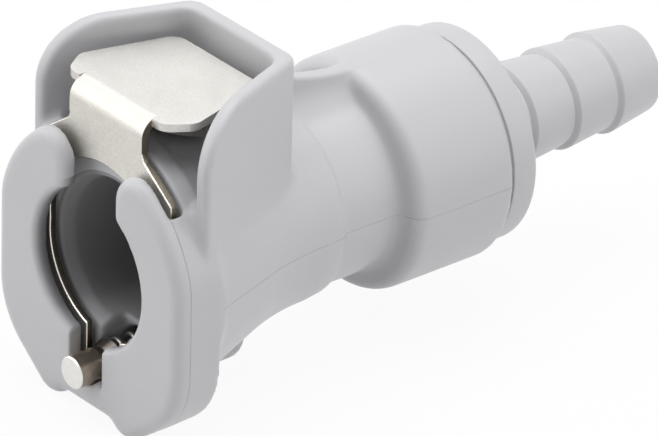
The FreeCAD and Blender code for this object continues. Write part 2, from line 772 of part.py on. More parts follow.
def latch_bend():
    """Return the quarter bend between the plate's neck and the pad."""
    centre_y = PLATE_FRONT + BEND_RADIUS
    centre_z = PAD_TOP - BEND_RADIUS
    centre = point(-LATCH_NECK_HALF, centre_y, centre_z)
    outer = Part.makeCylinder(BEND_RADIUS, 2 * LATCH_NECK_HALF, centre, point(1, 0, 0))
    inner = Part.makeCylinder(BEND_RADIUS - SHEET, 2 * LATCH_NECK_HALF, centre, point(1, 0, 0))
    quarter = box(-BIG, BIG, centre_y - BIG, centre_y, centre_z, centre_z + BIG)
    return outer.cut(inner).common(quarter)


def thumb_pad():
    """Return the flat thumb pad with its rounded ears and corners."""
    neck_y = PLATE_FRONT + BEND_RADIUS
    right = [
        point(LATCH_NECK_HALF, neck_y, 0),
        point(LATCH_NECK_HALF, PAD_EAR_Y, 0),
        point(PAD_EAR_HALF, PAD_EAR_Y, 0),
        point(PAD_WIDE_HALF, PAD_WIDE_Y, 0),
        point(PAD_BACK_HALF, PAD_BACK_Y, 0),
    ]
    left = [point(-p.x, p.y, 0) for p in reversed(right)]
    face = Part.Face(Part.makePolygon(right + left + right[:1]))
    pad = face.extrude(point(0, 0, SHEET))
    pad.translate(point(0, 0, PAD_TOP - SHEET))
    corners = []
    for edge in pad.Edges:
        bounds = edge.BoundBox
        if bounds.ZLength < SHEET / 2:
            continue
        if abs(bounds.XMin) > LATCH_NECK_HALF + 0.01:
            corners.append(edge)
    return pad.makeFillet(PAD_CORNER_RADIUS, corners)


def leaf_spring():
    """Return the leaf folded back under the pad from its rear edge."""
    top_z = PAD_TOP - SHEET / 2
    fold_radius = (LEAF_FOLD_GAP + SHEET) / 2
    fold_y = PAD_BACK_Y - 0.4
    under_z = top_z - 2 * fold_radius
    slope_r = flare_radius(LEAF_LOW_Y)
    low_z = slope_r + LEAF_LOW_CLEARANCE + SHEET / 2
    tip_z = PAD_TOP - SHEET - LEAF_TIP_DROP
    path = [
        arc(
            point(0, fold_y, top_z),
            point(0, fold_y + fold_radius, top_z - fold_radius),
            point(0, fold_y, under_z),
        )
    ]
    curve = Part.BSplineCurve()
    curve.interpolate(
        [point(0, fold_y, under_z), point(0, LEAF_LOW_Y, low_z), point(0, LEAF_TIP_Y, tip_z)],
        Tangents=[point(0, -1, 0), point(0, -1, LEAF_LOW_LIFT), point(0, -1, LEAF_TIP_LIFT)],
        TangentFlags=[True, True, True],
    )
    path.append(curve.toShape())
    spine = Part.Wire(path)
    section = Part.Wire(
        Part.makePolygon(
            [
                point(-LEAF_HALF, fold_y, top_z - SHEET / 2),
                point(LEAF_HALF, fold_y, top_z - SHEET / 2),
                point(LEAF_HALF, fold_y, top_z + SHEET / 2),
                point(-LEAF_HALF, fold_y, top_z + SHEET / 2),
                point(-LEAF_HALF, fold_y, top_z - SHEET / 2),
            ]
        )
    )
    return spine.makePipeShell([section], True, False)


def flare_radius(y):
    """Return the neck's outer radius at a place along the bore axis, ahead of its step."""
    angle = math.atan(NECK_CONE_SLOPE)
    sweep_start_y = NECK_SWEEP_END - NECK_SWEEP_RADIUS * math.sin(angle)
    if y >= NECK_SWEEP_END:
        return NECK_RADIUS
    if y >= sweep_start_y:
        drop = NECK_SWEEP_END - y
        return NECK_RADIUS + NECK_SWEEP_RADIUS - math.sqrt(NECK_SWEEP_RADIUS**2 - drop**2)
    start_r = NECK_RADIUS + NECK_SWEEP_RADIUS * (1 - math.cos(angle))
    return start_r + NECK_CONE_SLOPE * (sweep_start_y - y)


def thumb_latch():
    """Return the latch: plate, bend, pad and leaf as one folded sheet."""
    return latch_plate().fuse([latch_bend(), thumb_pad(), leaf_spring()]).removeSplitter()


NODES = {
    "front_housing": front_housing,
    "barb_end": barb_end,
    "housing_seal": housing_seal,
    "thumb_latch": thumb_latch,
    "lock_pin": lock_pin,
    "pin_spring": pin_spring,
}

os.makedirs("parts", exist_ok=True)
for name, build in NODES.items():
    shape = build()
    print(name, shape.isValid(), len(shape.Solids), round(shape.Volume, 2), shape.BoundBox)
    shape.exportStep("parts/" + name + ".step")
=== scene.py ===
"""Looks of a quick-disconnect coupling body: moulded housing, folded latch, lock pin and hose barb."""
import logging
import math
from dataclasses import dataclass, field
from enum import Enum
from typing import Any, Sequence

import bmesh
import bpy
import numpy as np
from mathutils import Matrix, Vector


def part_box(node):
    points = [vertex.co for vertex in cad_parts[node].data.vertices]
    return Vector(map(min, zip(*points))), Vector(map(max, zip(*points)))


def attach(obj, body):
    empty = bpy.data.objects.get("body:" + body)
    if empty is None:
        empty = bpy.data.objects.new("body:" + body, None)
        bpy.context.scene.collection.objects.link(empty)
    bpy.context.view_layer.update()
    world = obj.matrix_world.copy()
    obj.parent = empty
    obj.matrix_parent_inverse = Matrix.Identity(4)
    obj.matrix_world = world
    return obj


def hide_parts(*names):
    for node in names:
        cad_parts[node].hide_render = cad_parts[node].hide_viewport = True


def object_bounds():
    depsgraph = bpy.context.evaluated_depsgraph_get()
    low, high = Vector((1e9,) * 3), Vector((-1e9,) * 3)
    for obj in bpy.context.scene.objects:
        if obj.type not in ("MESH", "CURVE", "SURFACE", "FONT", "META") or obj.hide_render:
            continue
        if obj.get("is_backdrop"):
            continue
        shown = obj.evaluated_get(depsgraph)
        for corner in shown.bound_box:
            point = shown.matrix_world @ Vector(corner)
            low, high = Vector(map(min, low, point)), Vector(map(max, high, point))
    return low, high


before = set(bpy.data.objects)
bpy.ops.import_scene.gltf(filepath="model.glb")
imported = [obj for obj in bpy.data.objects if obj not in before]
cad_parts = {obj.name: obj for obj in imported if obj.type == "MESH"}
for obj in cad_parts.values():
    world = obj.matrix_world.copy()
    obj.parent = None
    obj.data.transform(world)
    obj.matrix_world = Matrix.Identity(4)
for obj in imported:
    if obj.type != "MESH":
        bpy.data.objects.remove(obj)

log = logging.getLogger("coupling")
MM = 0.001


# Sockets and trees

class Sock:
    """A node socket that adds Math or Vector Math nodes when it is used in an expression."""

    def __init__(self, tree: "Tree", socket: Any) -> None:
        """Wraps one output socket.

        Args:
            tree: The tree that new nodes go to.
            socket: The output socket.
        """
        self.tree = tree
        self.socket = socket

    @property
    def is_vector(self) -> bool:
        """Whether the socket carries a vector or a colour."""
        return self.socket.type in {"VECTOR", "RGBA"}

    def _op(self, name: str, *others: Any) -> "Sock":
        """Adds the node of one operation.

        Args:
            name: The operation.
            others: The values or sockets after this one.

        Returns:
            The node's result.
        """
        values = [self, *others]
        vector = any(isinstance(v, Sock) and v.is_vector for v in values)
        kind = "ShaderNodeVectorMath" if vector else "ShaderNodeMath"
        if vector:
            values = [v if isinstance(v, (Sock, tuple)) else (v, v, v) for v in values]
        made = self.tree.node(kind, {"operation": name}, dict(enumerate(values)))
        return made.out(0)

    def __add__(self, other: Any) -> "Sock":
        """Sum."""
        return self._op("ADD", other)

    __radd__ = __add__

    def __sub__(self, other: Any) -> "Sock":
        """Difference."""
        return self._op("SUBTRACT", other)

    def __rsub__(self, other: Any) -> "Sock":
        """Reflected difference, so that 1 - mask works."""
        return (self * -1.0) + other

    def __mul__(self, other: Any) -> "Sock":
        """Product."""
        return self._op("MULTIPLY", other)

    __rmul__ = __mul__

    def __truediv__(self, other: Any) -> "Sock":
        """Quotient."""
        return self._op("DIVIDE", other)

    def __pow__(self, other: Any) -> "Sock":
        """Power."""
        return self._op("POWER", other)

    def __abs__(self) -> "Sock":
        """Distance from zero."""
        return self._op("ABSOLUTE")

    def sin(self) -> "Sock":
        """Sine of an angle in radians."""
        return self._op("SINE")

    def most(self, other: Any) -> "Sock":
        """The larger of two."""
        return self._op("MAXIMUM", other)

    def above(self, limit: float) -> "Sock":
        """1 where this is above a limit, else 0."""
        return self._op("GREATER_THAN", limit)

    def below(self, limit: float) -> "Sock":
        """1 where this is below a limit, else 0."""
        return self._op("LESS_THAN", limit)

    def clamped(self) -> "Sock":
        """Held between 0 and 1."""
        return self._op("MAXIMUM", 0.0)._op("MINIMUM", 1.0)

    def ramp(self, start: float, run: float) -> "Sock":
        """A slope: 0 up to a start, rising to 1 over a run.

        Args:
            start: Where it leaves 0.
            run: How far on it reaches 1.

        Returns:
            The slope's height.
        """
        return ((self - start) / run).clamped()

    def near(self, centre: float, reach: float) -> "Sock":
        """A soft ridge: 1 at a centre, falling to 0 at a reach on either side.

        Args:
            centre: Where the ridge is highest.
            reach: Half its width.

        Returns:
            The ridge's height.
        """
        return (1.0 - abs(self - centre) / reach).most(0.0)

    def axes(self) -> tuple["Sock", "Sock", "Sock"]:
        """The three parts of a vector."""
        made = self.tree.node("ShaderNodeSeparateXYZ", {}, {0: self})
        return made.out(0), made.out(1), made.out(2)


class Node:
    """One node and its outputs."""

    def __init__(self, tree: "Tree", node: Any) -> None:
        """Wraps a node.

        Args:
            tree: The tree that holds it.
            node: The node.
        """
        self.tree = tree
        self.raw = node

    def out(self, key: int | str = 0) -> Sock:
        """An output by its place or name."""
        return Sock(self.tree, self.raw.outputs[key])


class Tree:
    """A shader or geometry tree, with one method that makes any node."""

    def __init__(self, tree: Any) -> None:
        """Wraps a tree.

        Args:
            tree: The node tree.
        """
        self.raw = tree

    def node(self, kind: str, settings: dict[str, Any], inputs: dict[int | str, Any]) -> Node:
        """Makes a node.

        Args:
            kind: The node's type.
            settings: Its own settings, which are set first. The key "stops" holds a ramp's stops.
            inputs: Values or links of its sockets, by place or name.

        Returns:
            The node.
        """
        made = self.raw.nodes.new(kind)
        for key, value in settings.items():
            if key == "stops":
                self._stops(made.color_ramp, value)
            else:
                setattr(made, key, value)
        for key, value in inputs.items():
            if isinstance(value, Node):
                value = value.out(0)
            if isinstance(value, Sock):
                self.raw.links.new(value.socket, made.inputs[key])
            else:
                made.inputs[key].default_value = value
        return Node(self, made)

    @staticmethod
    def _stops(ramp: Any, stops: Sequence[tuple[float, Sequence[float]]]) -> None:
        """Sets a ramp's stops.

        Args:
            ramp: The ramp.
            stops: Pairs of a place and a colour.
        """
        while len(ramp.elements) < len(stops):
            ramp.elements.new(0.5)
        for element, (place, colour) in zip(ramp.elements, stops):
            element.position = place
            element.color = (*colour, 1.0)

    def vector(self, x: Any, y: Any, z: Any) -> Sock:
        """A vector of three values or sockets."""
        return self.node("ShaderNodeCombineXYZ", {}, {0: x, 1: y, 2: z}).out(0)

    def mix(self, factor: Any, low: Any, high: Any) -> Sock:
        """A colour between two.

        Args:
            factor: 0 for the low colour, 1 for the high one.
            low: A colour or a socket.
            high: A colour or a socket.

        Returns:
            The mixed colour.
        """
        low = low if isinstance(low, Sock) else (*low, 1.0)
        high = high if isinstance(high, Sock) else (*high, 1.0)
        made = self.node("ShaderNodeMix", {"data_type": "RGBA"}, {0: factor, 6: low, 7: high})
        return made.out(2)

    def noise(self, at: Any, scale: float, detail: float = 3.0, rough: float = 0.55) -> Sock:
        """Noise from 0 to 1.

        Args:
            at: The place, as a vector socket.
            scale: Cells to the metre.
            detail: Layers.
            rough: Strength of each finer layer.

        Returns:
            The noise.
        """
        values = {"Vector": at, "Scale": scale, "Detail": detail, "Roughness": rough}
        return self.node("ShaderNodeTexNoise", {}, values).out(0)

    def bump(self, height: Sock, strength: float) -> Sock:
        """A normal that follows a height.

        Args:
            height: The height, in millimetres.
            strength: The share of it that is used.

        Returns:
            The normal.
        """
        values = {"Strength": strength, "Distance": 1.0 * MM, "Height": height}
        return self.node("ShaderNodeBump", {}, values).out(0)

    def seen_straight(self) -> Sock:
        """1 for the camera, in mirror images and through clear things, else 0."""
        seen = self.node("ShaderNodeLightPath", {}, {})
        mirrored = seen.out("Is Glossy Ray").most(seen.out("Is Transmission Ray"))
        return seen.out("Is Camera Ray").most(mirrored)


# Finishes

class Slot(Enum):
    """The record's material slots."""

    HOUSING = "housing_grey"
    LATCH = "latch_steel"
    PIN = "pin_steel"
    SPRING = "spring_steel"
    SEAL = "seal_rubber"


@dataclass(frozen=True)
class Finish:
    """What every finish has: a slot, and a shader that starts from Object coordinates."""

    slot: Slot
    name: str

    def material(self) -> bpy.types.Material:
        """Makes the material.

        Returns:
            The finished material.
        """
        made = bpy.data.materials.new(self.name)
        made.use_nodes = True
        made.node_tree.nodes.clear()
        tree = Tree(made.node_tree)
        place = tree.node("ShaderNodeTexCoord", {}, {}).out("Object")
        shader = tree.node("ShaderNodeBsdfPrincipled", {}, {})
        self.dress(tree, place, shader)
        tree.node("ShaderNodeOutputMaterial", {}, {"Surface": shader.out(0)})
        return made

    def dress(self, tree: Tree, place: Sock, shader: Node) -> None:
        """Sets and links the shader's sockets; each finish has its own.

        Args:
            tree: The material's tree.
            place: Object coordinates, in metres.
            shader: The shader node.
        """
        raise NotImplementedError

    @staticmethod
    def link(shader: Node, values: dict[str, Any]) -> None:
        """Sets sockets of the shader.

        Args:
            shader: The shader node.
            values: Values or links by socket name.
        """
        for key, value in values.items():
            if isinstance(value, Sock):
                shader.tree.raw.links.new(value.socket, shader.raw.inputs[key])
            else:
                shader.raw.inputs[key].default_value = value


@dataclass(frozen=True)
class MouldedAcetal(Finish):
    """Pale grey moulded plastic: a faint cloudiness, a fine spark-eroded grain and thin mould lines.

    The bore's wall carries painted shade: its base colour is darkened, apart from its floor, which is left
    pale as if lit. Heights are in millimetres.
    """

    slot: Slot = Slot.HOUSING
    name: str = "moulded_acetal"
    pale: tuple[float, float, float] = (0.55, 0.55, 0.566)
    deep: tuple[float, float, float] = (0.51, 0.51, 0.526)
    # Painted shade: the colour that the bore's wall is darkened to.
    bore_shade_tone: tuple[float, float, float] = (0.27, 0.266, 0.275)
    roughness: float = 0.29
    cloud_cells: float = 160.0
    cloud_rough: float = 0.07
    cloud_tone: float = 0.6
    grain_cells: float = 5200.0
    grain_rough: float = 0.03
    grain_height: float = 0.0045
    drag_cells: float = 2400.0
    drag_stretch: float = 0.05
    drag_rough: float = 0.05
    drag_tone: float = 0.4
    drag_height: float = 0.004
    # Where and how strongly the painted shade in the bore is laid on, and where its floor is spared.
    bore_radius: float = 6.7 * MM
    bore_start: float = 0.05 * MM
    bore_run: float = 0.75 * MM
    bore_shade_share: float = 1.0
    floor_depth: float = 4.7 * MM
    floor_run: float = 1.3 * MM
    floor_share: float = 0.75
    mould_lines: bool = True
    line_height: float = 0.05
    line_z: float = 0.0
    line_reach: float = 0.075 * MM
    line_start_y: float = 4.2 * MM
    line_clear_radius: float = 6.6 * MM
    seam_y: float = 1.22 * MM
    seam_reach: float = 0.06 * MM
    seam_clear_radius: float = 8.8 * MM
    bump_share: float = 0.9

    def dress(self, tree: Tree, place: Sock, shader: Node) -> None:
        """Links the plastic's cloudiness, grain and lines.

        Args:
            tree: The material's tree.
            place: Object coordinates, in metres.
            shader: The shader node.
        """
        x, y, z = place.axes()
        radius = ((x * x) + (z * z)) ** 0.5
        cloud = tree.noise(place, self.cloud_cells, 2.0)
        grain = tree.noise(place, self.grain_cells, 2.0)
        drawn = tree.node("ShaderNodeMapping", {}, {"Vector": place, "Scale": (1.0, self.drag_stretch, 1.0)})
        drag = tree.noise(drawn.out(0), self.drag_cells, 2.0, 0.6)
        rough = cloud * self.cloud_rough + grain * self.grain_rough + drag * self.drag_rough
        height = grain * self.grain_height + drag * self.drag_height
        if self.mould_lines:
            outside = radius.above(self.line_clear_radius) * y.above(self.line_start_y)
            line = z.near(self.line_z, self.line_reach) * outside
            seam = y.near(self.seam_y, self.seam_reach) * radius.above(self.seam_clear_radius)
            height = height + (line - seam) * self.line_height
        # Painted shade: darkens the bore's wall, sparing its floor, which is treated as lit.
        bore = radius.below(self.bore_radius) * y.ramp(self.bore_start, self.bore_run)
        lit = (z * -1.0).ramp(self.floor_depth, self.floor_run) * self.floor_share
        tone = tree.mix(cloud * self.cloud_tone + drag * self.drag_tone, self.deep, self.pale)
        self.link(
            shader,
            {
                "Base Color": tree.mix(bore * (1.0 - lit) * self.bore_shade_share, tone, self.bore_shade_tone),
                "Roughness": rough + self.roughness,
                "Normal": tree.bump(height, self.bump_share),
                "IOR": 1.48,
                "Specular IOR Level": 0.35,
            },
        )


@dataclass(frozen=True)
class StampedSteel(Finish):
    """Tumbled stainless sheet: pale and satin, with a fine pebbled grain and a few faint rubs.

    Its sheared edges are dark, and the broken edge along them is polished and carries a painted highlight in
    its colour. The bend's outer face carries painted shade that holds down its highlight.
    Heights are in millimetres.
    """

    slot: Slot = Slot.LATCH
    name: str = "stamped_steel"
    pale: tuple[float, float, float] = (0.72, 0.71, 0.685)
    deep: tuple[float, float, float] = (0.57, 0.56, 0.535)
    plate_tone: tuple[float, float, float] = (1.0, 0.985, 0.95)
    pad_tone: tuple[float, float, float] = (0.94, 0.935, 0.93)
    # Painted shade: the bend's outer face, which looks up and forward at the lamps, is darkened to hold down
    # its highlight.
    bend_shade_tone: tuple[float, float, float] = (0.74, 0.73, 0.71)
    cut_tone: tuple[float, float, float] = (0.30, 0.27, 0.22)
    # Painted highlight: a colour above 1 that brightens the broken edge.
    edge_highlight_tone: tuple[float, float, float] = (1.3, 1.28, 1.24)
    roughness: float = 0.28
    grain_cells: float = 6500.0
    grain_rough: float = 0.16
    grain_height: float = 0.022
    cloud_cells: float = 420.0
    cloud_rough: float = 0.08
    rub_cells: float = 900.0
    rub_stretch: float = 9.0
    rub_height: float = 0.004
    blotch_grain: float = 2.0
    blotch_cloud: float = 0.6
    blotch_floor: float = 0.75
    broken_polish: float = 0.16
    bump_share: float = 0.85
    bend_z: float = 10.9 * MM
    bend_y: float = 3.2 * MM
    neck_half: float = 4.25 * MM
    edge_on: float = 0.3
    side_on: float = 0.6
    square_on: float = 0.97
    pad_z: float = 12.2 * MM
    pad_run: float = 0.8 * MM

    def dress(self, tree: Tree, place: Sock, shader: Node) -> None:
        """Links the sheet's grain, rubs and edges.

        Args:
            tree: The material's tree.
            place: Object coordinates, in metres.
            shader: The shader node.
        """
        x, y, z = place.axes()
        facing_x, facing_y, facing_z = tree.node("ShaderNodeTexCoord", {}, {}).out("Normal").axes()
        grain = tree.noise(place, self.grain_cells, 3.0, 0.65)
        cloud = tree.noise(place, self.cloud_cells, 3.0)
        drawn = tree.node("ShaderNodeMapping", {}, {"Vector": place, "Scale": (self.rub_stretch, 1.0, 1.0)})
        rubs = tree.noise(drawn.out(0), self.rub_cells, 2.0, 0.5)
        blotch = (grain * self.blotch_grain + cloud * self.blotch_cloud - self.blotch_floor).clamped()
        front = y.below(self.bend_y)
        plate = z.below(self.bend_z)
        slanted = abs(facing_y).above(self.edge_on) * abs(facing_y).below(self.square_on)
        broken = slanted * plate * front
        neck_cut = abs(facing_x).above(self.side_on) * z.above(self.bend_z) * abs(x).below(self.neck_half)
        sheared = (abs(facing_y).below(self.edge_on) * plate + neck_cut) * front
        # Painted shade on the bend's faces that look up and forward.
        bend = (facing_y * facing_z * -2.0).most(0.0) * front
        tone = tree.mix(z.ramp(self.pad_z, self.pad_run), self.plate_tone, self.pad_tone)
        tone = tree.mix(bend, tone, self.bend_shade_tone)
        # Painted highlight: the broken edge's colour is brightened above the sheet's own; the sheared faces
        # keep their own darker tone.
        tone = tree.mix(broken, tree.mix(sheared, tone, self.cut_tone), self.edge_highlight_tone)
        rough = grain * self.grain_rough + cloud * self.cloud_rough - broken * self.broken_polish
        self.link(
            shader,
            {
                "Base Color": tree.mix(blotch, self.deep, self.pale) * tone,
                "Metallic": 1.0,
                "Roughness": rough + self.roughness,
                "Normal": tree.bump(grain * self.grain_height + rubs * self.rub_height, self.bump_share),
            },
        )


@dataclass(frozen=True)
class TurnedSteel(Finish):
    """Bright turned stainless with fine tool rings round the pin's axis. Its flank carries a painted brown
    reflection, and the part within the slot carries painted shade.
    """

    slot: Slot = Slot.PIN
    name: str = "turned_steel"
    pale: tuple[float, float, float] = (0.80, 0.79, 0.76)
    # Painted reflection: the brown tone of the flank behind the nose.
    side: tuple[float, float, float] = (0.44, 0.38, 0.31)
    # Painted shade: the darker tone of the part within the slot.
    hidden: tuple[float, float, float] = (0.20, 0.18, 0.16)
    nose_y: float = -1.16 * MM
    slot_y: float = 0.9 * MM
    axis_z: float = -8.1 * MM
    roughness: float = 0.24
    grain_cells: float = 2600.0
    grain_rough: float = 0.14
    grain_height: float = 0.006
    side_waves: float = 62000.0
    face_waves: float = 90000.0
    ring_height: float = 0.0008
    mottle: float = 0.2
    mottle_base: float = 0.85
    bump_share: float = 0.6

    def dress(self, tree: Tree, place: Sock, shader: Node) -> None:
        """Links the rings and the grain.

        Args:
            tree: The material's tree.
            place: Object coordinates, in metres.
            shader: The shader node.
        """
        x, y, z = place.axes()
        z = z - self.axis_z
        radius = ((x * x) + (z * z)) ** 0.5
        rings = (y * self.side_waves).sin() + (radius * self.face_waves).sin()
        grain = tree.noise(place, self.grain_cells, 3.0)
        # Painted reflection: the flank behind the nose takes the brown tone.
        tone = tree.mix(y.above(self.nose_y), self.pale, self.side)
        # Painted shade: the part within the slot is darkened further.
        tone = tree.mix(y.above(self.slot_y), tone, self.hidden)
        self.link(
            shader,
            {
                "Base Color": tone * (grain * self.mottle + self.mottle_base),
                "Metallic": 1.0,
                "Roughness": grain * self.grain_rough + self.roughness,
                "Normal": tree.bump(rings * self.ring_height + grain * self.grain_height, self.bump_share),
            },
        )


@dataclass(frozen=True)
class DrawnWire(Finish):
    """Drawn spring wire, slightly darker than the pin."""

    slot: Slot = Slot.SPRING
    name: str = "drawn_wire"
    pale: tuple[float, float, float] = (0.66, 0.65, 0.64)
    deep: tuple[float, float, float] = (0.495, 0.4875, 0.48)
    roughness: float = 0.28
    grain_cells: float = 3000.0
    grain_rough: float = 0.2

    def dress(self, tree: Tree, place: Sock, shader: Node) -> None:
        """Links the wire's tone.

        Args:
            tree: The material's tree.
            place: Object coordinates, in metres.
            shader: The shader node.
        """
        grain = tree.noise(place, self.grain_cells, 3.0)
        self.link(
            shader,
            {
                "Base Color": tree.mix(grain, self.deep, self.pale),
                "Metallic": 1.0,
                "Roughness": grain * self.grain_rough + self.roughness,
            },
        )


@dataclass(frozen=True)
class SealRubber(Finish):
    """Black moulded rubber with a dusty grain."""

    slot: Slot = Slot.SEAL
    name: str = "seal_rubber"
    pale: tuple[float, float, float] = (0.035, 0.035, 0.038)
    deep: tuple[float, float, float] = (0.016, 0.016, 0.018)
    roughness: float = 0.5
    grain_cells: float = 4000.0
    grain_rough: float = 0.15
    grain_height: float = 0.01
    bump_share: float = 0.5

    def dress(self, tree: Tree, place: Sock, shader: Node) -> None:
        """Links the rubber's tone and grain.

        Args:
            tree: The material's tree.
            place: Object coordinates, in metres.
            shader: The shader node.
        """
        grain = tree.noise(place, self.grain_cells, 3.0)
        self.link(
            shader,
            {
                "Base Color": tree.mix(grain, self.deep, self.pale),
                "Roughness": grain * self.grain_rough + self.roughness,
                "Normal": tree.bump(grain * self.grain_height, self.bump_share),
            },
        )


# Mesh helpers

def piece_from(
    name: str, mesh: bpy.types.Mesh, material: bpy.types.Material, body: str
) -> bpy.types.Object:
    """Makes a finished piece that rides on a body.

    Args:
        name: The piece's name.
        mesh: Its mesh, in the row frame.
        material: The finish's material.
        body: The body that it rides on.

    Returns:
        The piece.
    """
    mesh.name = name
    mesh.materials.clear()
    mesh.materials.append(material)
    made = on_scene(name, mesh)
    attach(made, body)
    log.info("%s: %d faces on %s", name, len(mesh.polygons), body)
    return made


def merged_copy(node: str) -> bmesh.types.BMesh:
    """A copy of a CAD node's mesh, with its loose triangles joined.

    Args:
        node: The CAD node.

    Returns:
        The joined mesh.
    """
    work = bmesh.new()
    work.from_mesh(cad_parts[node].data)
    bmesh.ops.remove_doubles(work, verts=work.verts, dist=1e-6)
    return work


def on_scene(name: str, mesh: bpy.types.Mesh) -> bpy.types.Object:
    """A work object in the scene.

    Args:
        name: Its name.
        mesh: Its mesh.

    Returns:
        The object.
    """
    made = bpy.data.objects.new(name, mesh)
    bpy.context.scene.collection.objects.link(made)
    return made


def mesh_of(name: str, work: bmesh.types.BMesh) -> bpy.types.Mesh:
    """A mesh from an edited one, which is freed.

    Args:
        name: The mesh's name.
        work: The edited mesh.

    Returns:
        The mesh.
    """
    mesh = bpy.data.meshes.new(name)
    work.to_mesh(mesh)
    work.free()
    return mesh


def evaluated(source: bpy.types.Object) -> bpy.types.Mesh:
    """The plain mesh of an object with its modifiers worked out, after which the object is removed.

    Args:
        source: The object.

    Returns:
        The mesh.
    """
    graph = bpy.context.evaluated_depsgraph_get()
    mesh = bpy.data.meshes.new_from_object(source.evaluated_get(graph))
    source.modifiers.clear()
    bpy.data.objects.remove(source)
    return mesh


def revolve(
    name: str, profile: Sequence[tuple[float, float]], steps: int, centre_z: float = 0.0
) -> bpy.types.Mesh:
    """Turns a closed profile about an axis along Y.

    Args:
        name: The mesh's name.
        profile: Pairs of a place along Y and a radius, in millimetres, closed from last to first.
        steps: Facets round the axis.
        centre_z: Height of the axis, in millimetres.

    Returns:
        The mesh.
    """
    work = bmesh.new()
    rings = []
    turns = [2 * math.pi * k / steps for k in range(steps)]
    for y, r in profile:
        ring = [(r * math.sin(t), centre_z + r * math.cos(t)) for t in turns] if r > 0 else [(0.0, centre_z)]
        rings.append([work.verts.new((x * MM, y * MM, z * MM)) for x, z in ring])
    for a, b in zip(rings, rings[1:] + rings[:1]):
        if len(a) == 1 and len(b) == 1:
            continue
        for k in range(steps):
            corners = [a[k % len(a)], a[(k + 1) % len(a)], b[(k + 1) % len(b)], b[k % len(b)]]
            unique = list(dict.fromkeys(corners))
            if len(unique) > 2:
                work.faces.new(unique)
    bmesh.ops.recalc_face_normals(work, faces=work.faces)
    mesh = mesh_of(name, work)
    mesh.shade_smooth()
    return mesh


def rounded(points: Sequence[tuple[float, float, float]], steps: int = 5) -> list[tuple[float, float]]:
    """Rounds the corners of a profile.

    Args:
        points: Triples of a place along Y, a radius and a corner rounding, in millimetres.
        steps: Points on each rounding.

    Returns:
        Pairs of a place along Y and a radius.
    """
    made: list[tuple[float, float]] = []
    count = len(points)
    for k, (y, r, fillet) in enumerate(points):
        here = Vector((y, r))
        before = Vector(points[k - 1][:2]) - here
        after = Vector(points[(k + 1) % count][:2]) - here
        if fillet <= 0:
            made.append((y, r))
            continue
        room = 0.49 * min(before.length, after.length)
        before.normalize()
        after.normalize()
        reach = min(fillet / math.tan(before.angle(after) / 2), room)
        start, end = here + before * reach, here + after * reach
        for s in range(steps + 1):
            t = s / steps
            p = start * (1 - t) ** 2 + here * 2 * t * (1 - t) + end * t**2
            made.append((p.x, p.y))
    return made


# Sub-assemblies

